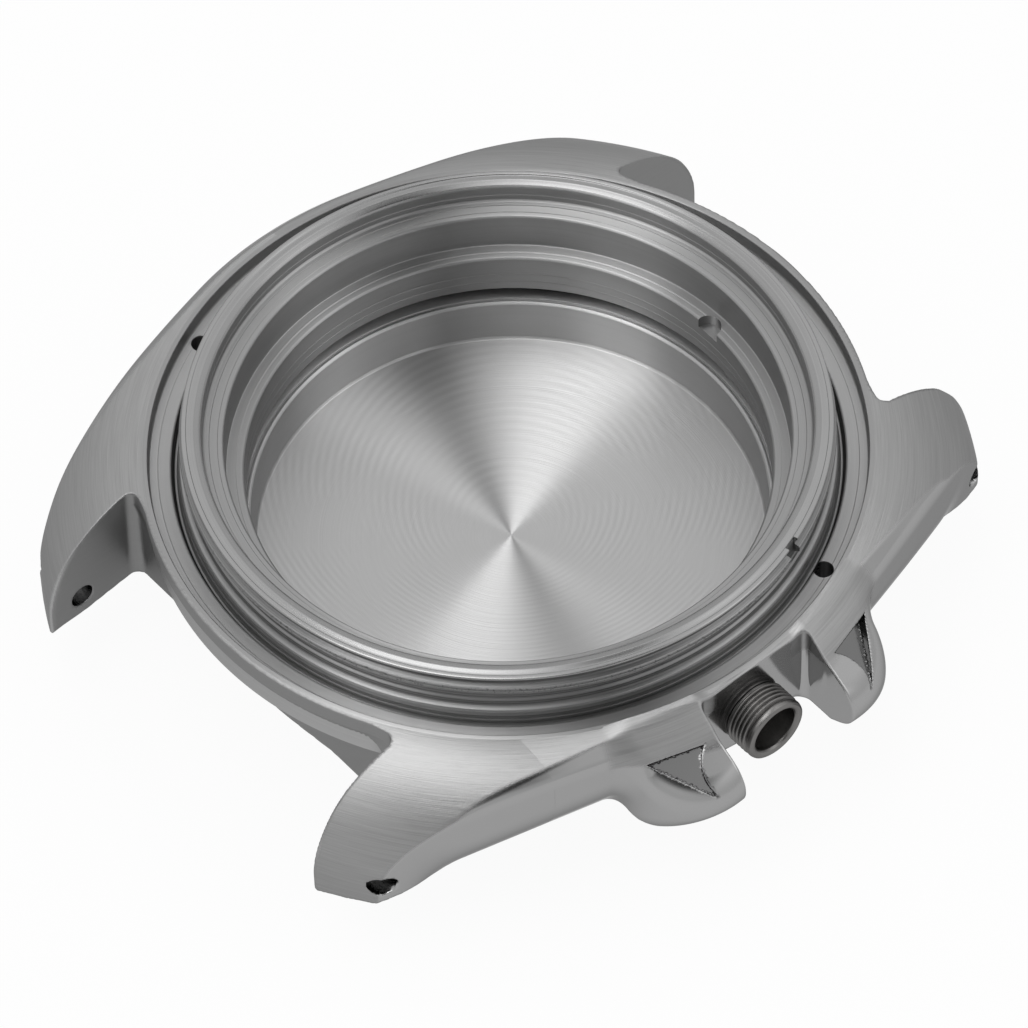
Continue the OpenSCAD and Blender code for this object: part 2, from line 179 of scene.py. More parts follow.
class CaseColours(PropertyGroup):
    """Colours of the case's metals and seal."""

    steel: FloatVectorProperty(
        name="Steel",
        description="Colour of the middle case",
        default=(0.40, 0.40, 0.40),
        size=3,
        subtype="COLOR",
        min=0,
        max=1,
    )
    back: FloatVectorProperty(
        name="Back steel",
        description="Colour of the screw-down back",
        default=(0.58, 0.58, 0.58),
        size=3,
        subtype="COLOR",
        min=0,
        max=1,
    )
    # The tube's steel is darker than the case's: painted shade for the tube's place between the crown guards
    tube: FloatVectorProperty(
        name="Tube steel",
        description="Colour of the crown tube",
        default=(0.24, 0.235, 0.23),
        size=3,
        subtype="COLOR",
        min=0,
        max=1,
    )
    rubber: FloatVectorProperty(
        name="Rubber",
        description="Colour of the back's seal",
        default=(0.012, 0.012, 0.013),
        size=3,
        subtype="COLOR",
        min=0,
        max=1,
    )


def sizes():
    return bpy.context.scene.case_sizes


def colours():
    return bpy.context.scene.case_colours


class Value:
    """A shader socket that can be added, multiplied and compared like a number."""

    def __init__(self, tree, socket):
        self.tree = tree
        self.socket = socket

    def joined(self, operation, first, second=None, third=None):
        node = self.tree.nodes.new("ShaderNodeMath")
        node.operation = operation
        for place, item in enumerate((first, second, third)):
            if isinstance(item, Value):
                self.tree.links.new(item.socket, node.inputs[place])
            elif item is not None:
                node.inputs[place].default_value = item
        return Value(self.tree, node.outputs[0])

    def __add__(self, other):
        return self.joined("ADD", self, other)

    __radd__ = __add__

    def __sub__(self, other):
        return self.joined("SUBTRACT", self, other)

    def __rsub__(self, other):
        return self.joined("SUBTRACT", other, self)

    def __mul__(self, other):
        return self.joined("MULTIPLY", self, other)

    __rmul__ = __mul__

    def __truediv__(self, other):
        return self.joined("DIVIDE", self, other)

    def __rtruediv__(self, other):
        return self.joined("DIVIDE", other, self)

    def __lt__(self, other):
        return self.joined("LESS_THAN", self, other)

    def sine(self):
        return self.joined("SINE", self)

    def root(self):
        return self.joined("SQRT", self)

    def size(self):
        return self.joined("ABSOLUTE", self)

    def angle(self, other):
        return self.joined("ARCTAN2", self, other)

    def held(self):
        """This value, kept between 0 and 1."""
        node = self.joined("ADD", self, 0.0)
        node.socket.node.use_clamp = True
        return node

    def band(self, low, high):
        """0 below low, 1 above high, and a smooth rise between them."""
        share = ((self - low) / (high - low)).held()
        return share * share * (3.0 - 2.0 * share)


class Finish:
    """One material's nodes."""

    def __init__(self, name):
        self.material = bpy.data.materials.new(name)
        self.material.use_nodes = True
        self.tree = self.material.node_tree
        self.tree.nodes.clear()
        self.place = self.add("ShaderNodeTexCoord").node.outputs["Object"]
        parts = self.add("ShaderNodeSeparateXYZ", inputs={0: Value(self.tree, self.place)})
        outs = parts.node.outputs
        self.x, self.y, self.z = (Value(self.tree, out) * (1 / MM) for out in outs)

    def add(self, kind, settings=None, inputs=None, out=0):
        node = self.tree.nodes.new(kind)
        for key, value in (settings or {}).items():
            setattr(node, key, value)
        for key, value in (inputs or {}).items():
            if isinstance(value, Value):
                self.tree.links.new(value.socket, node.inputs[key])
            else:
                node.inputs[key].default_value = value
        found = Value(self.tree, node.outputs[out] if node.outputs else None)
        found.node = node
        return found

    def point(self, x, y, z):
        return self.add("ShaderNodeCombineXYZ", inputs={0: x, 1: y, 2: z})

    def noise(self, vector, scale=1.0, detail=2.0, roughness=0.5):
        return self.add(
            "ShaderNodeTexNoise",
            inputs={"Vector": vector, "Scale": scale, "Detail": detail, "Roughness": roughness},
        )

    def attribute(self, name):
        return self.add("ShaderNodeAttribute", {"attribute_name": name}, out="Fac")

    def mixed(self, share, first, second):
        node = self.add("ShaderNodeMix", {"data_type": "RGBA"}, {0: share}, out=2)
        for place, colour in ((6, first), (7, second)):
            if isinstance(colour, Value):
                self.tree.links.new(colour.socket, node.node.inputs[place])
            else:
                node.node.inputs[place].default_value = (*colour, 1)
        return node

    def blend(self, share, first, second):
        """first where share is 0, and second where it is 1."""
        return first + (second - first) * share

    def spots(self, scale, detail=2.0):
        """A noise in all directions, with this many spots to the millimetre."""
        return self.noise(self.point(self.x, self.y, self.z), scale, detail)

    def shade(self, tone, metal):
        """A metal's colour times a tone."""
        parts = {place: tone * part for place, part in enumerate(metal)}
        return self.add("ShaderNodeCombineColor", inputs=parts)

    def bump(self, height, depth):
        return self.add("ShaderNodeBump", inputs={"Height": height, "Strength": 1.0, "Distance": depth * MM})

    def metal(self, colour, roughness, normal, anisotropic):
        """A metal. Turned lines run around the case axis, so its light spreads across them."""
        inputs = {
            "Base Color": colour,
            "Metallic": 1.0,
            "Specular Tint": (0.5, 0.5, 0.5, 1),
            "Anisotropic Rotation": 0.25,
            "Roughness": roughness,
            "Anisotropic": anisotropic,
            "Normal": normal,
        }
        shader = self.add("ShaderNodeBsdfPrincipled", inputs=inputs)
        self.add("ShaderNodeOutputMaterial", inputs={"Surface": shader})
        return self.material

    def radius(self):
        return (self.x * self.x + self.y * self.y).root()


def tinted(colour, factor):
    """A colour with each part times a factor."""
    return tuple(part * factor for part in colour)


def case_finish():
    """Brushed tops, polished bevels and flanks, and fine-milled faces between the lugs."""
    steel = tuple(colours().steel)
    nodes = Finish("case_steel")
    brushed = nodes.attribute("brushed")
    milled = nodes.attribute("milled")
    # The brush runs around the case, so its lines lie side by side over the curve of the top
    across = (nodes.radius() - CURVE_X).angle(nodes.z - CURVE_Z) * CURVE_R
    streak = nodes.noise(nodes.point(across * 16.0, nodes.x * 0.22, nodes.y * 0.22), detail=4, roughness=0.6)
    hair = nodes.noise(nodes.point(across * 40.0, nodes.x * 0.5, nodes.y * 0.5), detail=2)
    cloud = nodes.spots(0.35)
    grain = nodes.spots(14.0, 3)
    lines = nodes.noise(nodes.point(nodes.x * 0.6, nodes.y * 0.6, nodes.z * 9.0), detail=3)
    tone = 0.73 + 0.44 * streak + 0.20 * (hair - 0.5)
    # Painted reflection: the cuts beside the guards are painted darker than the other polished faces, for
    # the dark that their mirror faces reflect
    tone = nodes.blend(brushed, (1.12 + 0.06 * cloud) * (1.0 - 0.52 * nodes.attribute("facet")), tone)
    tone = nodes.blend(milled, tone, 0.74 + 0.06 * grain + 0.06 * lines)
    shade = nodes.shade(tone, steel)
    rough = nodes.blend(brushed, 0.13 + 0.04 * cloud, 0.30 + 0.10 * streak)
    rough = nodes.blend(milled, rough, 0.42 + 0.08 * grain)
    height = brushed * (streak * 0.8 + hair * 0.5) + (1.0 - brushed) * (cloud * 0.25)
    height = height + milled * (grain + lines) * 0.3
    return nodes.metal(shade, rough, nodes.bump(height, 0.012), 0.8)


def turned_finish():
    """Lathe-turned neck, ledge and bores: fine rings around the case axis."""
    steel = tuple(colours().steel)
    nodes = Finish("turned_steel")
    radius = nodes.radius()
    # A cut runs around, so it changes with the radius and the height only
    cut = nodes.noise(nodes.point(radius * 9.0, nodes.z * 9.0, nodes.x * 0.04), detail=4, roughness=0.65)
    fine = nodes.noise(nodes.point(radius * 30.0, nodes.z * 30.0, nodes.y * 0.12), detail=2)
    stain = nodes.noise(nodes.point(nodes.x, nodes.y, nodes.z * 2.0), 0.5, 3)
    # Painted light: the flat ledge is painted lighter than the rest of the turned steel
    ledge = radius.band(18.25, 18.35) * (1.0 - nodes.z.band(2.9, 3.0))
    tone = 0.84 + 0.22 * cut + 0.08 * (fine - 0.5) + 0.08 * (stain - 0.5) + 0.28 * ledge
    # The outside of the neck is rougher: dark lines, and a pitted band on its lip
    flat_top = nodes.z.band(5.88, 5.94)
    outside = radius.band(17.2, 17.28) * (1.0 - radius.band(18.2, 18.28)) * (1.0 - flat_top)
    line = nodes.noise(nodes.point(radius * 7.0, nodes.z * 7.0, 3.0), detail=4)
    pit = nodes.spots(7.0, 3).band(0.52, 0.66)
    pit = pit * nodes.z.band(4.9, 5.0) * (1.0 - nodes.z.band(5.25, 5.35)) * outside
    tone = tone - outside * (0.26 * nodes.z.band(3.4, 3.9) - 1.8 * (line - 0.5)) - 0.3 * pit
    # Painted shade: below the ledge's face the holes in it are painted much darker. The inner ring of the
    # neck's top is darker
    hole_shade = radius.band(18.0, 18.1) * (1.0 - radius.band(19.3, 19.4)) * (1.0 - nodes.z.band(2.7, 2.85))
    inner_ring = radius.band(16.5, 16.56) * (1.0 - radius.band(16.84, 16.9)) * nodes.z.band(5.85, 5.9)
    tone = tone - 0.7 * hole_shade - 0.14 * inner_ring
    shade = nodes.shade(tone, steel)
    rough = 0.24 + 0.12 * cut + 0.05 * stain - 0.12 * flat_top
    height = cut * 0.7 + fine * 0.5 + outside * line * 1.5 - 2.0 * pit
    return nodes.metal(shade, rough, nodes.bump(height, 0.007), 0.95)


def back_finish():
    """The back: fine concentric turning that gives fans of light on its inner floor."""
    steel = tuple(colours().back)
    nodes = Finish("back_steel")
    radius = nodes.radius()
    ring = nodes.noise(nodes.point(radius * 7.0, nodes.z * 7.0, 0.5), detail=4, roughness=0.6)
    fine = nodes.noise(nodes.point(radius * 26.0, nodes.z * 20.0, nodes.x * 0.05), detail=2)
    stain = nodes.spots(0.22, 3)
    away = nodes.y * math.cos(SIDEWAYS) - nodes.x * math.sin(SIDEWAYS)
    # Nested curves, partly the turning lines with their slight run-out and partly painted reflection: light
    # and dark rings of the floor's fans, shifted along the view
    turned_rings_and_sheen = (TAU * (2.5 * radius - 0.9 * away)).sine() * radius.band(1.5, 5.0) * stain.band(0.35, 0.6)
    turned_rings_and_sheen = turned_rings_and_sheen * (nodes.z < -4.0)
    tone = 0.96 + 0.08 * (ring - 0.5) + 0.06 * (fine - 0.5) + 0.08 * (stain - 0.5) + 0.05 * turned_rings_and_sheen
    shade = nodes.shade(tone, steel)
    rough = 0.27 + 0.04 * ring + 0.04 * stain
    return nodes.metal(shade, rough, nodes.bump(ring * 0.3 + fine * 0.5, 0.016), 1.0)


def tube_painted_shade_finish():
    """Turned steel of the crown tube, painted darker than the case's steel: painted shade for its place
    between the crown guards.
    """
    steel = tuple(colours().tube)
    nodes = Finish("tube_steel")
    across = (nodes.y * nodes.y + nodes.z * nodes.z).root()
    cut = nodes.noise(nodes.point(across * 8.0, nodes.x * 12.0, nodes.y * 0.1), detail=3)
    grain = nodes.spots(9.0, 3)
    tone = 0.75 + 0.35 * cut + 0.2 * grain
    shade = nodes.shade(tone, steel)
    return nodes.metal(shade, 0.26 + 0.16 * grain, nodes.bump(cut + grain * 0.4, 0.01), 0.0)


def rubber_finish():
    """Matt black rubber with a faint grain."""
    rubber = tuple(colours().rubber)
    nodes = Finish("seal_rubber")
    grain = nodes.spots(12.0, 3)
    shade = nodes.mixed(grain, tinted(rubber, 0.7), tinted(rubber, 1.6))
    inputs = {"Base Color": shade, "Roughness": 0.45 + 0.2 * grain, "Normal": nodes.bump(grain, 0.01)}
    shader = nodes.add("ShaderNodeBsdfPrincipled", inputs=inputs)
    nodes.add("ShaderNodeOutputMaterial", inputs={"Surface": shader})
    return nodes.material


def alone(piece):
    """Only this piece is selected and active."""
    bpy.ops.object.select_all(action="DESELECT")
    piece.select_set(True)
    bpy.context.view_layer.objects.active = piece


def finished(piece, name, node, finish):
    """Names a piece, gives it its finish and lets it ride with its CAD node's body."""
    piece.name = name
    piece.data.name = name
    piece.data.materials.clear()
    piece.data.materials.append(finish)
    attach(piece, frame["nodes"][node]["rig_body"])
    return piece


def softened(points, reach):
    """A profile whose corners are each replaced with a short curve."""
    out = []
    total = len(points)
    for place, (r, z) in enumerate(points):
        before = points[place - 1]
        after = points[(place + 1) % total]
        to_before = math.hypot(before[0] - r, before[1] - z)
        to_after = math.hypot(after[0] - r, after[1] - z)
        cut_before = min(reach, 0.4 * to_before) / to_before
        cut_after = min(reach, 0.4 * to_after) / to_after
        start = (r + (before[0] - r) * cut_before, z + (before[1] - z) * cut_before)
        end = (r + (after[0] - r) * cut_after, z + (after[1] - z) * cut_after)
        for share in (0.0, 0.5, 1.0):
            a, b, c = (1 - share) ** 2, 2 * share * (1 - share), share ** 2
            out.append((a * start[0] + b * r + c * end[0], a * start[1] + b * z + c * end[1]))
    return out


def spun(points, steps, around_x=False):
    """A closed profile of (distance from the axis, place along it), drawn point by point and spun."""
    bpy.ops.object.select_all(action="DESELECT")
    bpy.ops.mesh.primitive_plane_add(size=MM)
    piece = bpy.context.object
    bpy.ops.object.mode_set(mode="EDIT")
    bpy.ops.mesh.select_all(action="SELECT")
    bpy.ops.mesh.merge(type="CENTER")
    places = [(along, across, 0) if around_x else (across, 0, along) for across, along in points]
    bpy.ops.transform.translate(value=[part * MM for part in places[0]])
    here = places[0]
    for place in places[1:] + places[:1]:
        move = [(new - old) * MM for new, old in zip(place, here)]
        bpy.ops.mesh.extrude_vertices_move(TRANSFORM_OT_translate={"value": move})
        here = place
    bpy.ops.mesh.select_all(action="SELECT")
    bpy.ops.mesh.remove_doubles(threshold=1e-7)
    axis = (1, 0, 0) if around_x else (0, 0, 1)
    bpy.ops.mesh.select_all(action="SELECT")
    bpy.ops.mesh.spin(steps=steps, angle=TAU, center=(0, 0, 0), axis=axis)
    bpy.ops.mesh.select_all(action="SELECT")
    bpy.ops.mesh.remove_doubles(threshold=1e-6)
    bpy.ops.mesh.select_all(action="SELECT")
    bpy.ops.mesh.normals_make_consistent(inside=False)
    bpy.ops.object.mode_set(mode="OBJECT")
    return piece


def smooth(piece, degrees=28):
    """Shades a piece smooth, apart from the edges that are sharper than this."""
    alone(piece)
    bpy.ops.object.shade_smooth_by_angle(angle=math.radians(degrees))


def cut_away(piece, cutters):
    """Cuts the cutters' shapes from a piece and removes them."""
    for cutter in cutters:
        modifier = piece.modifiers.new("cut", "BOOLEAN")
        modifier.operation = "DIFFERENCE"
        modifier.solver = "EXACT"
        modifier.object = cutter
        alone(piece)
        bpy.ops.object.modifier_apply(modifier=modifier.name)
        bpy.data.objects.remove(cutter)
    return piece


def drill(radius, low, high, at):
    """An upright drill for cut_away, at a place in the plane of the case."""
    bpy.ops.object.select_all(action="DESELECT")
    bpy.ops.mesh.primitive_cylinder_add(
        vertices=48,
        radius=radius * MM,
        depth=(high - low) * MM,
        location=(at[0] * MM, at[1] * MM, (low + high) / 2 * MM),
    )
    bpy.ops.object.transform_apply(location=True, rotation=True, scale=True)
    return bpy.context.object


def block(size, radius, height, angle):
    """A block for cut_away, turned to face the case axis from this radius."""
    bpy.ops.object.select_all(action="DESELECT")
    bpy.ops.mesh.primitive_cube_add(size=MM)
    cutter = bpy.context.object
    cutter.dimensions = [part * MM for part in size]
    cutter.location = [part * MM for part in (*on_circle(radius, angle), height)]
    cutter.rotation_euler = (0, 0, angle)
    bpy.ops.object.transform_apply(location=True, rotation=True, scale=True)
    return cutter


def on_circle(radius, angle):
    """A place in the plane of the case, counted from 3 o'clock."""
    return radius * math.cos(angle), radius * math.sin(angle)


def rounded_and(first, second, radius):
    """The part that two shapes share, with its edge rounded. Each is a distance, below 0 inside."""
    reach = np.hypot(np.maximum(first + radius, 0), np.maximum(second + radius, 0))
    return np.minimum(-radius, np.maximum(first, second)) + reach


def rounded_or(first, second, radius):
    """Two shapes together, with the corner between them filled to a radius."""
    return -rounded_and(-first, -second, radius)


def eased_and(first, second, reach):
    """The part that two shapes share, eased where their surfaces meet at a shallow angle."""
    near = np.maximum(reach - np.abs(first - second), 0)
    return np.maximum(first, second) + near * near / (4 * reach)


def less(first, second, radius):
    """The first shape without the second."""
    return rounded_and(first, -second, radius)


def guard_shape(x, q, z, edge):
    """A crown guard's nose on the side q above 0: round in plan, and thinner towards its tip."""
    plan = np.hypot(x - GUARD_X, q - GUARD_Y) - GUARD_R
    top = (z - np.minimum(2.95 - 0.62 * (x - 20.5) - 0.26 * (q - 4), 3.45)) / 1.2
    low = (-3.15 + 0.56 * (x - 20.26) - z) / 1.15
    shape = eased_and(plan, eased_and(top, low, 0.9), 1.2)
    return rounded_and(shape, SEAT_HALF - q, edge)


def facet_shape(x, q, z):
    """The three-cornered cut beside a guard's ridge, below 0 where metal is taken away."""
    # Its floor is turned to face the camera, and u, v and w are places along its three directions
    turn, tilt = math.radians(30), math.radians(-20)
    across = (math.cos(turn), 0.0, -math.sin(turn))
    along = (math.sin(turn) * math.sin(tilt), math.cos(tilt), math.cos(turn) * math.sin(tilt))
    up = (math.sin(turn) * math.cos(tilt), -math.sin(tilt), math.cos(turn) * math.cos(tilt))
    away = (x - 21.02, q - 4.35, z - 2.05)
    u, v, w = (sum(a * b for a, b in zip(away, axis)) for axis in (across, along, up))
    corners = [(0.14, 0.04), (3.02, 1.0), (-0.71, 3.21)]
    # The floor rises a little outwards, and the nose's round lobe stays whole beside the cut
    rising = 0.08 * (0.51 * u + 0.86 * v)
    lobe = np.hypot(u - 2.05, v + 1.25) - 2.38
    shape = np.maximum(rising - w, -lobe)
    for start, end in zip(corners, corners[1:] + corners[:1]):
        du, dv = end[0] - start[0], end[1] - start[1]
        length = math.hypot(du, dv)
        side = ((u - start[0]) * dv - (v - start[1]) * du) / length
        shape = np.maximum(shape, side)
    return shape


def surfaces(x, y, z):
    """The plain surfaces that bound the body, each as a distance that is below 0 inside."""
    p, q = np.abs(x), np.abs(y)
    radius = np.hypot(x, y)
    top = np.hypot(np.maximum(radius - CURVE_X, 0), np.maximum(z - CURVE_Z, 0)) - CURVE_R
    side_x = (SIDE_R - BODY_R) * math.cos(SIDE_ANGLE)
    side_y = (SIDE_R - BODY_R) * math.sin(SIDE_ANGLE)
    arc = np.hypot(p + side_x, q + side_y) - SIDE_R
    plan = np.where(q < p * math.tan(SIDE_ANGLE), radius - BODY_R, arc)
    # The bevel falls along the lug, and drops faster near its tip
    run, tip = np.maximum(q - 10.5, 0), np.maximum(q - 18.5, 0)
    fall = BEVEL_R - np.sqrt(BEVEL_R ** 2 - run ** 2) + 0.17 * tip ** 2
    steep = run / BEVEL_R + 0.34 * tip
    bevel = (z - (RIM_Z - 1.1 - fall) + 1.2 * plan) / np.sqrt(1 + 1.2 ** 2 + steep ** 2)
    # The flank leans in below, and less so towards the lug's tip
    yaw, lean = math.radians(14.2), np.radians(32 - 24 * rise(q, 16.5, 20.5))
    out = (p - FOOT_X) * math.cos(yaw) + (q - FOOT_Y) * math.sin(yaw)
    tuck = out * np.cos(lean) - (z - ARCH_Z) * np.sin(lean)
    under = ARCH_R - np.hypot(q, z - ARCH_Z + ARCH_R)
    wall_r = np.interp(z, [LAND_Z, RIM_Z - 1.0], [GAP_WALL + 0.4, 19.93])
    wall = (radius - wall_r) * 0.93
    gap = rounded_and(p - LUG_HALF, GAP_WALL - q, 0.7)
    gap = rounded_and(gap, -wall, 0.6)
    return top, plan, bevel, tuck, under, gap


def crown_side(x, y):
    """Distance to the upright block around the crown guards, below 0 inside."""
    return np.maximum(SIDE_CUT_X - x, np.abs(y) - SIDE_CUT_Y)


def body_shape(x, y, z, edge, blend, cored=True):
    """Distance to the middle case's body, below 0 inside, all in millimetres."""
    top, plan, bevel, tuck, under, gap = surfaces(x, y, z)
    q = np.abs(y)
    flank = eased_and(plan, tuck, 0.6)
    tip_edge = edge + 0.12 * rise(q, 20.6, 22.8)
    shape = rounded_and(top, eased_and(flank, bevel, 0.3), tip_edge)
    guard = guard_shape(x, q, z, edge)
    shape = rounded_or(shape, np.where(x > 0, guard, 9.0), blend)
    shape = rounded_and(shape, under, 0.16)
    shape = less(shape, gap, edge + 0.3 * rise(q, 20.6, 23.0))
    shape = less(shape, rounded_and(SEAT_X - x, q - SEAT_HALF, 0.4), edge)
    shape = less(shape, facet_shape(x, q, z), 0.075)
    shape = less(shape, np.hypot(q - BAR_Y, z - BAR_Z) - BAR_R, 0.07)
    if cored:
        radius = np.hypot(x, y)
        shape = np.maximum(shape, CORE_R - radius)
        shape = np.maximum(shape, -np.maximum(radius - SKIN_IN_R, PLATE_Z - z))
        shank = np.maximum(np.hypot(y, z) - 1.16, 16.6 - x)
        shape = np.maximum(shape, -shank)
    return shape


def sampled(shape, axes, step):
    """A shape's distances at all points of a grid, worked out in full only near its surface."""
    block = 10
    counts = [len(axis) for axis in axes]
    middles = [axis[np.minimum(np.arange(0, len(axis), block) + block // 2, len(axis) - 1)] for axis in axes]
    rough = shape(middles[0][:, None, None], middles[1][None, :, None], middles[2][None, None, :])
    field = rough
    for axis in range(3):
        field = np.repeat(field, block, axis)
    field = field[:counts[0], :counts[1], :counts[2]].copy()
    near = np.argwhere(np.abs(rough) < 1.4 * math.sqrt(3) * block / 2 * step)
    offsets = np.indices((block, block, block)).reshape(3, -1).T
    for group in np.array_split(near, max(1, len(near) // 40)):
        index = (group[:, None, :] * block + offsets[None]).reshape(-1, 3)
        index = index[(index < counts).all(axis=1)]
        field[tuple(index.T)] = shape(*(axes[k][index[:, k]] for k in range(3)))
    return field


def grown(shape, low, high, step):
    """Points and four-sided faces of the surface where a shape's distance is 0."""
    axes = [np.arange(a, b + step, step) for a, b in zip(low, high)]
    counts = [len(axis) for axis in axes]
    field = sampled(shape, axes, step)
    strides = np.array([counts[1] * counts[2], counts[2], 1])
    ends, cells, faces_out = [], [], []
    # Each grid line that crosses the surface gives one face between its four cells
    for axis in range(3):
        a = [slice(None)] * 3
        b = [slice(None)] * 3
        a[axis] = slice(0, -1)
        b[axis] = slice(1, None)
        first, second = field[tuple(a)], field[tuple(b)]
        index = np.argwhere((first < 0) != (second < 0))
        f0 = first[tuple(index.T)]
        f1 = second[tuple(index.T)]
        base = np.stack([axes[k][index[:, k]] for k in range(3)], 1)
        lower, upper = np.zeros(len(index)), np.ones(len(index))
        share = f0 / (f0 - f1)
        # The crossing is narrowed down in four steps
        for _ in range(4):
            point = base.copy()
            point[:, axis] += share * step
            value = shape(*point.T)
            same = (value < 0) == (f0 < 0)
            lower = np.where(same, share, lower)
            upper = np.where(same, upper, share)
            f0n = np.where(same, value, f0)
            f1n = np.where(same, f1, value)
            f0, f1 = f0n, f1n
            share = lower + (upper - lower) * f0 / (f0 - f1)
        point = base.copy()
        point[:, axis] += share * step
        ends.append(point)
        u, v = (axis + 1) % 3, (axis + 2) % 3
        ring = []
        for du, dv in ((0, 0), (1, 0), (1, 1), (0, 1)):
            cell = index.copy()
            cell[:, u] -= du
            cell[:, v] -= dv
            ring.append(cell @ strides)
        ring = np.stack(ring, 1)
        cells.append(ring)
        faces_out.append((first[tuple(index.T)] < 0))
    points = np.concatenate(ends)
    ring = np.concatenate(cells)
    outward = np.concatenate(faces_out)
    # Each cell gets one vertex, as near as it can be to the planes at its crossings
    slope = gradient(shape, points, 0.004)
    unique, place = np.unique(ring, return_inverse=True)
    place = place.reshape(ring.shape)
    total = len(unique)
    owner = place.ravel()
    spread = np.repeat(np.arange(len(points)), 4)

    def gathered(values):
        return np.bincount(owner, weights=values[spread], minlength=total)

    count = np.bincount(owner, minlength=total)
    middle = np.stack([gathered(points[:, k]) / count for k in range(3)], 1)
    along = np.sum(slope * points, 1)
    matrix = np.empty((total, 3, 3))
    right = np.empty((total, 3))
    for i in range(3):
        right[:, i] = gathered(slope[:, i] * along)
        for j in range(i, 3):
            matrix[:, i, j] = matrix[:, j, i] = gathered(slope[:, i] * slope[:, j])
    right -= np.einsum("nij,nj->ni", matrix, middle)
    matrix[:, range(3), range(3)] += 0.02 * count[:, None]
    offset = np.linalg.solve(matrix, right[:, :, None])[:, :, 0]
    corner = np.stack([
        axes[0][unique // strides[0]],
        axes[1][unique // strides[1] % counts[1]],
        axes[2][unique % counts[2]],
    ], 1)
    vertices = np.clip(middle + offset, corner, corner + step)
    faces = np.where(outward[:, None], place, place[:, ::-1])
    return vertices, faces


def gradient(shape, points, reach):
    """The direction in which a shape's distance grows, at each point."""
    slopes = []
    for axis in range(3):
        ahead, behind = points.copy(), points.copy()
        ahead[:, axis] += reach
        behind[:, axis] -= reach
        slopes.append(shape(*ahead.T) - shape(*behind.T))
    slope = np.stack(slopes, 1)
    return slope / np.maximum(np.linalg.norm(slope, axis=1, keepdims=True), 1e-9)


def rise(value, low, high):
    """0 up to low, 1 from high, and a smooth rise between them, or a fall where high is the lower."""
    share = np.clip((value - low) / (high - low), 0, 1)
    return share * share * (3 - 2 * share)


def corner_normals(vertices, faces, solid, skin):
    """A normal for each face corner: smooth over the skin, and crisp at its edges."""
    outer = np.abs(skin(*vertices.T)) < 0.03
    smooth_normal = np.where(outer[:, None], gradient(skin, vertices, 0.02), gradient(solid, vertices, 0.02))
    ring = vertices[faces]
    flat = np.cross(ring[:, 2] - ring[:, 0], ring[:, 3] - ring[:, 1])
    flat = flat / np.maximum(np.linalg.norm(flat, axis=1, keepdims=True), 1e-12)
    normals = smooth_normal[faces]
    off = np.argwhere(np.einsum("fcx,fx->fc", normals, flat) < 0.8)
    face, corner = off.T
    middle = ring.mean(axis=1)[face]
    inward = gradient(solid, ring[face, corner] * 0.55 + middle * 0.45, 0.01)
    agrees = np.einsum("nx,nx->n", inward, flat[face]) > 0.85
    normals[face, corner] = np.where(agrees[:, None], inward, flat[face])
    return normals.reshape(-1, 3)


def body_piece(name, low, high, step, inside):
    """One closed piece of the body, the part where inside is below 0, with its finish."""
    edge = sizes().edge / MM
    blend = sizes().blend / MM

    def solid(x, y, z):
        return np.maximum(body_shape(x, y, z, edge, blend), inside(x, y))

    def skin(x, y, z):
        return body_shape(x, y, z, edge, blend, cored=False)

    vertices, faces = grown(solid, low, high, step)
    mesh = bpy.data.meshes.new(name)
    mesh.from_pydata((vertices * MM).tolist(), [], faces.tolist())
    piece = bpy.data.objects.new(name, mesh)
    bpy.context.scene.collection.objects.link(piece)
    mesh.polygons.foreach_set("use_smooth", [True] * len(mesh.polygons))
    mesh.normals_split_custom_set(corner_normals(vertices, faces, solid, skin).tolist())
    x, y, z = vertices.T
    top, plan, bevel, tuck, under, gap = surfaces(x, y, z)
    guard = np.where(x > 0, guard_shape(x, np.abs(y), z, edge), 9.0)
    others = np.maximum(np.maximum(bevel, plan), tuck)
    brushed = rise(top - others, -0.02, 0.06) * rise(np.abs(top), 0.08, 0.03) * rise(guard, -0.2, 0.15)
    crown_top = rise(guard, 1.4, 0.8) * rise(z, 2.0, 2.3)
    brushed = np.maximum(brushed, crown_top)
    # The facet mask also marks where case_finish paints the facets darker, a painted reflection
    facet = np.where(x > 0, rise(np.abs(facet_shape(x, np.abs(y), z)), 0.06, 0.02), 0.0)
    brushed = brushed * (1 - facet)
    milled = rise(np.abs(gap), 0.10, 0.05)
    milled = np.maximum(milled, rise(np.abs(under), 0.2, 0.1))
    for layer_name, values in (("brushed", brushed), ("milled", milled), ("facet", facet)):
        layer = mesh.attributes.new(layer_name, "FLOAT", "POINT")
        layer.data.foreach_set("value", values.astype(np.float32))
    return piece


class CASE_OT_body(Operator):
    """The body with its lugs and crown guards, whose forms run into each other without an edge"""

    bl_idname = "watch_case.body"
    bl_label = "Body and lugs"

    def execute(self, context):
        step = sizes().mesh_step / MM * 1
        # The pieces overlap by a hundredth of a millimetre
        lap = 0.01
        steel = case_finish()

        def upper_half(x, y):
            return np.maximum(-crown_side(x, y), -y) - lap

        def lower_half(x, y):
            return np.maximum(-crown_side(x, y), y) - lap

        pieces = (
            ("body_12", (-21.4, -0.3, -4.7), (19.5, 24.0, 4.0), step, upper_half),
            ("body_6", (-21.4, -24.0, -4.7), (19.5, 0.3, 4.0), step, lower_half),
            ("crown_side", (14.3, -12.6, -4.7), (24.3, 12.6, 4.0), step * 0.8, crown_side),
        )
        for name, low, high, spacing, inside in pieces:
            piece = body_piece(name, low, high, spacing, inside)
            finished(piece, name, "mid_case", steel)
            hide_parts("mid_case")
        return {"FINISHED"}


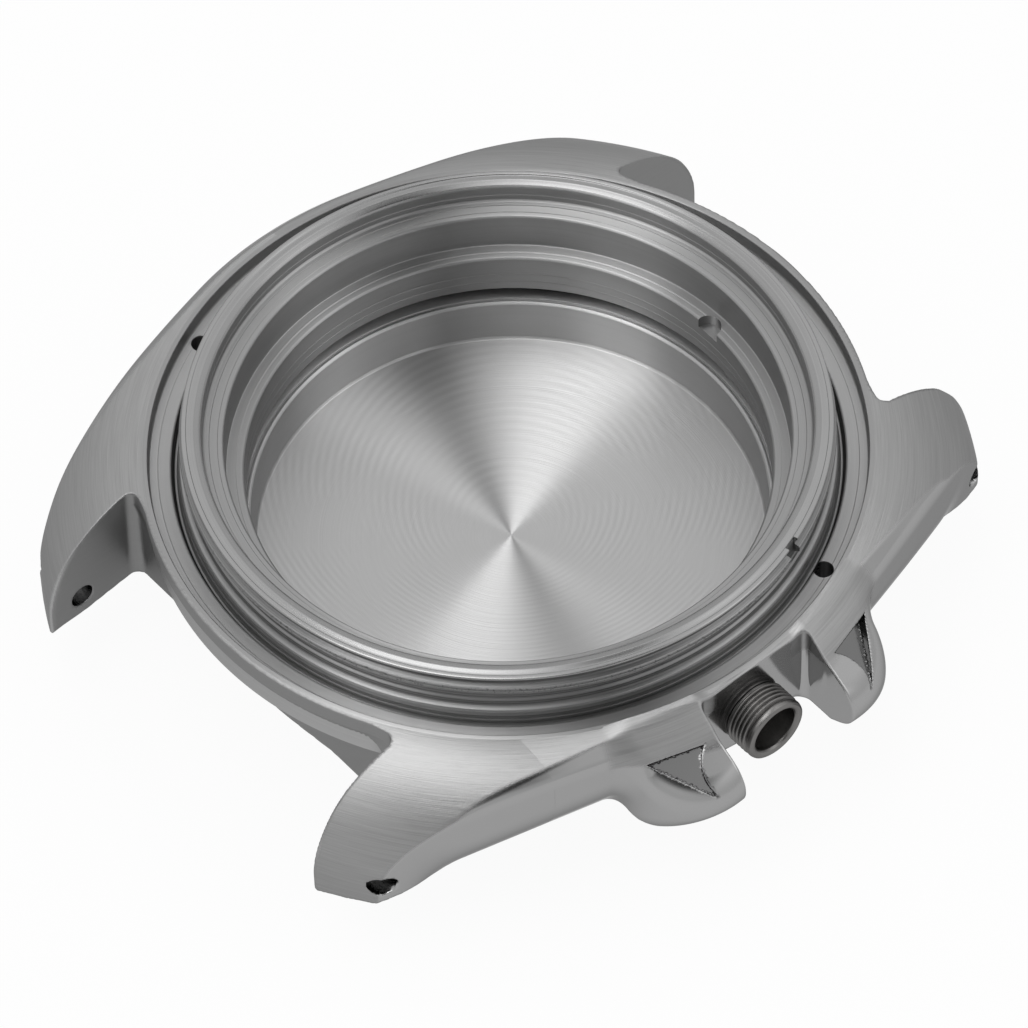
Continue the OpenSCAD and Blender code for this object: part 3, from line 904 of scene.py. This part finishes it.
def neck_profile():
    """The turned neck, ledge, seats and bores, as one closed profile around the case axis."""
    outside = [
        (LIP_R, 3.60),
        (LIP_R, 3.684),
        (19.62, 3.694),
        (19.50, 3.712),
        (LEDGE_R, 3.66),
        (LEDGE_R, 2.95),
        (19.38, LEDGE_Z),
        (18.95, LEDGE_Z),
        (18.93, LEDGE_Z - 0.02),
        (18.3, LEDGE_Z - 0.02),
        (18.22, LEDGE_Z - 0.05),
        (18.12, 2.45),
        (17.95, 2.42),
        (17.86, 2.6),
        (17.86, 2.83),
        (PILOT_R, 2.9),
        (PILOT_R, 3.46),
        (17.72, 3.57),
        (17.5, 3.62),
        (17.46, 3.72),
        (17.46, 3.98),
        (17.32, 4.08),
        (17.30, 4.35),
        (17.36, 4.40),
        (17.30, 4.45),
        (17.30, 4.72),
        (17.36, 4.80),
        (17.68, 4.96),
        (17.70, 5.04),
        (17.66, 5.10),
        (17.70, 5.16),
        (17.70, 5.24),
        (17.62, 5.34),
        (17.38, 5.42),
        (17.34, 5.50),
        (17.34, 5.68),
        (17.38, 5.74),
        (17.52, 5.80),
        (17.55, 5.86),
        (17.55, 5.95),
        (17.50, NECK_Z),
        (17.29, NECK_Z),
        (17.26, NECK_Z - 0.045),
        (17.19, NECK_Z - 0.045),
        (17.08, NECK_Z - 0.03),
    ]
    inside = [
        (16.92, NECK_Z),
        (16.86, NECK_Z - 0.012),
        (16.58, NECK_Z - 0.055),
        (16.46, 5.84),
        (CRYSTAL_R, 5.75),
        (CRYSTAL_R, 5.25),
        (16.42, 5.22),
        (16.42, CRYSTAL_Z + 0.1),
        (16.30, CRYSTAL_Z),
        (16.09, CRYSTAL_Z),
        (16.07, CRYSTAL_Z - 0.06),
        (15.64, CRYSTAL_Z - 0.06),
        (15.62, CRYSTAL_Z - 0.10),
        (15.40, CRYSTAL_Z - 0.10),
        (RING_R, CRYSTAL_Z - 0.2),
        (RING_R, RING_Z + 0.05),
        (15.26, RING_Z),
        (14.76, RING_Z),
        (14.74, RING_Z - 0.03),
        (14.42, RING_Z - 0.03),
        (MOVEMENT_R, RING_Z - 0.14),
        (MOVEMENT_R, 1.02),
        (14.33, 1.0),
        (MOVEMENT_R, 0.98),
        (MOVEMENT_R, 0.42),
        (14.33, 0.4),
        (MOVEMENT_R, 0.38),
        (MOVEMENT_R, BORE_END_Z + 0.08),
        (14.38, BORE_END_Z),
        (14.9, BORE_END_Z - 0.1),
        (14.96, SHOULDER_Z),
        (THREAD_BORE_R, SHOULDER_Z),
    ]
    thread = []
    pitch = 0.5
    for turn in range(4):
        z = SHOULDER_Z - 0.55 - turn * pitch
        thread += [
            (THREAD_BORE_R, z + 0.21),
            (THREAD_BORE_R + 0.25, z + 0.04),
            (THREAD_BORE_R + 0.25, z - 0.04),
            (THREAD_BORE_R, z - 0.21),
        ]
    below = [
        (THREAD_BORE_R, LAND_Z + 0.3),
        (THREAD_BORE_R + 0.3, LAND_Z),
        (17.16, LAND_Z),
        (17.24, LAND_Z + 0.08),
        (17.24, PLATE_Z),
        (LIP_R, PLATE_Z),
    ]
    return softened(outside + inside, 0.035) + thread + below


class CASE_OT_neck(Operator):
    """The turned neck with the bezel ledge, the crystal, dial and movement seats and the back's thread"""

    bl_idname = "watch_case.neck"
    bl_label = "Turned neck and seats"

    def execute(self, context):
        steps = sizes().turns // 1
        neck = spun(neck_profile(), steps)
        cutters = []
        for half in range(2):
            at = on_circle(CLICK_R, CLICK_ANGLE + half * math.pi)
            cutters.append(drill(0.56, 1.25, 4.0, at))
        at = on_circle(MOVEMENT_R, math.radians(90))
        cutters.append(drill(0.75, RING_Z - 0.7, RING_Z + 0.4, at))
        # The locating notch in the neck's lip, and the stem's hole
        cutters.append(block((0.62, 0.9, 2.0), 17.61, NECK_Z - 0.3, SLOT_ANGLE))
        bpy.ops.object.select_all(action="DESELECT")
        bpy.ops.mesh.primitive_cylinder_add(
            vertices=40,
            radius=0.5 * MM,
            depth=4 * MM,
            location=(15.0 * MM, 0, 0),
            rotation=(0, math.pi / 2, 0),
        )
        bpy.ops.object.transform_apply(location=True, rotation=True, scale=True)
        cutters.append(context.object)
        cut_away(neck, cutters)
        smooth(neck)
        finished(neck, "neck", "mid_case", turned_finish())
        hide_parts("mid_case")
        return {"FINISHED"}


class CASE_OT_tube(Operator):
    """The crown tube with its thread, its chamfered mouth and its stepped bore"""

    bl_idname = "watch_case.tube"
    bl_label = "Crown tube"

    def execute(self, context):
        points = [(0.8, 16.68), (1.12, 16.68), (1.15, 16.72), (1.15, 19.9), (1.79, 19.93), (1.79, 20.05)]
        pitch = 0.27
        for turn in range(5):
            x = 20.2 + turn * pitch
            points += [
                (1.75, x - 0.12),
                (1.93, x - 0.03),
                (1.93, x + 0.03),
                (1.75, x + 0.12),
            ]
        points += [
            (1.80, 21.46),
            (1.90, 21.54),
            (1.91, 21.66),
            (1.86, 21.82),
            (1.74, 21.895),
            (1.60, 21.895),
            (1.48, 21.82),
            (1.40, 21.70),
            (1.40, 20.35),
            (1.15, 20.2),
            (0.85, 20.2),
            (0.80, 20.1),
        ]
        tube = spun(softened(points, 0.025), 128, around_x=True)
        smooth(tube, 35)
        finished(tube, "tube", "crown_tube", tube_painted_shade_finish())
        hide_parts("crown_tube")
        return {"FINISHED"}


class CASE_OT_seal(Operator):
    """The back's rubber seal, pressed between the case's shoulder and the back"""

    bl_idname = "watch_case.seal"
    bl_label = "Seal"

    def execute(self, context):
        points = [(15.08, -1.3), (15.98, -1.3), (15.98, -0.6), (15.08, -0.6)]
        seal = spun(softened(softened(points, 0.2), 0.06), sizes().turns // 2)
        smooth(seal, 60)
        finished(seal, "seal", "back_seal", rubber_finish())
        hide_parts("back_seal")
        return {"FINISHED"}


class CASE_OT_back(Operator):
    """The screw-down back: turned inner floor and wall, thread, flange and key notches"""

    bl_idname = "watch_case.back"
    bl_label = "Screw-down back"

    def execute(self, context):
        rim, floor, low = -1.32, -4.17, -5.07
        outer = [
            (16.3, low),
            (17.06, -3.62),
            (17.09, -3.42),
            (17.0, -3.33),
            (15.7, -3.33),
            (15.7, -3.02),
        ]
        thread = []
        for turn in range(3):
            z = -2.77 + turn * 0.5
            thread += [(15.94, z - 0.21), (15.7, z - 0.04), (15.7, z + 0.04), (15.94, z + 0.21)]
        inner = [
            (15.94, rim - 0.12),
            (15.82, rim),
            (14.50, rim),
            (14.46, rim - 0.10),
            (14.40, rim - 0.10),
            (14.36, rim),
            (14.24, rim),
            (14.10, rim - 0.12),
            (14.02, floor + 0.14),
            (13.90, floor),
            (0.0, floor),
        ]
        points = softened([(0.0, low)] + outer, 0.03)[2:-2] + thread + softened(inner, 0.03)[1:-2]
        points = [(0.0, low)] + points + [(0.0, floor)]
        back = spun(points, sizes().turns // (1))
        cutters = []
        for key in range(6):
            cutters.append(block((2.6, 3.0, 1.8), 16.8, low, math.radians(30 + key * 60)))
        cut_away(back, cutters)
        smooth(back)
        finished(back, "back", "case_back", back_finish())
        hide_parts("case_back")
        return {"FINISHED"}


def floor_finish():
    """Pale floor: it takes the shadow, and it is white where the camera or a reflection sees it."""
    nodes = Finish("studio_floor")
    ray = nodes.add("ShaderNodeLightPath").node.outputs
    seen = Value(nodes.tree, ray["Is Camera Ray"]) + Value(nodes.tree, ray["Is Glossy Ray"])
    seen = (seen + Value(nodes.tree, ray["Is Transmission Ray"])).held()
    plain = nodes.add("ShaderNodeBsdfDiffuse", inputs={"Color": (0.85, 0.85, 0.85, 1)})
    strength = 1.0 - 0.3 * Value(nodes.tree, ray["Is Glossy Ray"])
    white = nodes.add("ShaderNodeEmission", inputs={"Color": (1, 1, 1, 1), "Strength": strength})
    mix = nodes.add("ShaderNodeMixShader", inputs={0: seen * 0.94, 1: plain, 2: white})
    nodes.add("ShaderNodeOutputMaterial", inputs={"Surface": mix})
    return nodes.material


class Sky(Finish):
    """The world's nodes, written like a material's."""

    def __init__(self, scene, name):
        world = bpy.data.worlds.new(name)
        scene.world = world
        world.use_nodes = True
        self.tree = world.node_tree
        self.tree.nodes.clear()
        way = Value(self.tree, self.add("ShaderNodeTexCoord").node.outputs["Generated"])
        outs = self.add("ShaderNodeSeparateXYZ", inputs={0: way}).node.outputs
        self.x, self.y, self.z = (Value(self.tree, out) for out in outs)


def studio_sky(scene):
    """White to the camera. To the metal and the floor: a soft dome with bright and dark areas in it."""
    sky = Sky(scene, "studio_sky")
    ray = sky.add("ShaderNodeLightPath").node.outputs
    seen = Value(sky.tree, ray["Is Camera Ray"]) + Value(sky.tree, ray["Is Transmission Ray"])
    right = sky.x * math.cos(SIDEWAYS) + sky.y * math.sin(SIDEWAYS)
    near = sky.x * math.sin(SIDEWAYS) - sky.y * math.cos(SIDEWAYS)
    # A turned surface shows the sky of one such value as one ray from its middle
    fan = right / (near + VIEW_LEVEL)
    high = sky.z.band(0.2, 0.45) * (1.0 - near.size().band(0.34, 0.46))
    dome = 0.60 + 0.35 * sky.z.band(0.1, 0.95)
    overhead = fan.band(-0.76, -0.62) * (1.0 - fan.band(-0.2, 0.2)) * high
    stand = fan.band(0.12, 0.32) * (1.0 - fan.band(0.42, 0.6)) * high
    beside = fan.band(0.6, 0.8) * (1.0 - fan.band(1.0, 1.6)) * high
    # The camera and the space behind it are dark
    behind = near.band(0.45, 0.6) * (1.0 - near.band(0.8, 0.93)) * (1.0 - right.size().band(0.3, 0.5))
    dome = dome * (1.0 - 0.95 * stand) * (1.0 - 0.95 * behind) + 2.0 * overhead + 0.5 * beside
    strength = sky.blend(seen.held(), dome, 1.0)
    light = sky.add("ShaderNodeBackground", inputs={"Color": (1, 1, 1, 1), "Strength": strength})
    sky.add("ShaderNodeOutputWorld", inputs={"Surface": light})


class CASE_OT_stage(Operator):
    """The floor, the soft light and the camera at the photograph's angle"""

    bl_idname = "watch_case.stage"
    bl_label = "Stage"

    def execute(self, context):
        scene = context.scene
        bpy.ops.object.select_all(action="DESELECT")
        bpy.ops.mesh.primitive_plane_add(size=4.0, location=(0, 0, FLOOR_Z * MM))
        floor = context.object
        floor.name = "studio_floor"
        floor.data.materials.append(floor_finish())
        studio_sky(scene)
        camera_data = bpy.data.cameras.new("camera")
        camera_data.lens = CAMERA_LENS
        camera_data.sensor_width = 36
        camera_data.clip_end = 10
        camera = bpy.data.objects.new("camera", camera_data)
        scene.collection.objects.link(camera)
        camera.location = CAMERA_PLACE
        camera.rotation_euler = [math.radians(part) for part in CAMERA_TURN]
        scene.camera = camera
        scene.view_settings.view_transform = "Standard"
        return {"FINISHED"}


class CASE_PT_sidebar(Panel):
    """Lists the case's pieces, in the order in which they are made"""

    bl_idname = "CASE_PT_sidebar"
    bl_label = "Watch case"
    bl_space_type = "VIEW_3D"
    bl_region_type = "UI"
    bl_category = "Watch case"

    def draw(self, context):
        layout = self.layout
        for group in (context.scene.case_sizes, context.scene.case_colours):
            for name in group.__annotations__:
                layout.prop(group, name)
        for piece in PIECES:
            layout.operator(piece.bl_idname)


PIECES = (CASE_OT_body, CASE_OT_neck, CASE_OT_tube, CASE_OT_seal, CASE_OT_back, CASE_OT_stage)
CLASSES = (CaseSizes, CaseColours, *PIECES, CASE_PT_sidebar)


def register():
    for one in CLASSES:
        bpy.utils.register_class(one)
    bpy.types.Scene.case_sizes = PointerProperty(type=CaseSizes)
    bpy.types.Scene.case_colours = PointerProperty(type=CaseColours)


def unregister():
    del bpy.types.Scene.case_colours
    del bpy.types.Scene.case_sizes
    for one in reversed(CLASSES):
        bpy.utils.unregister_class(one)


def main():
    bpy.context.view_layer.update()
    register()
    bpy.ops.watch_case.body()
    bpy.ops.watch_case.neck()
    bpy.ops.watch_case.tube()
    bpy.ops.watch_case.seal()
    bpy.ops.watch_case.back()
    bpy.ops.watch_case.stage()


if __name__ == "__main__":
    main()
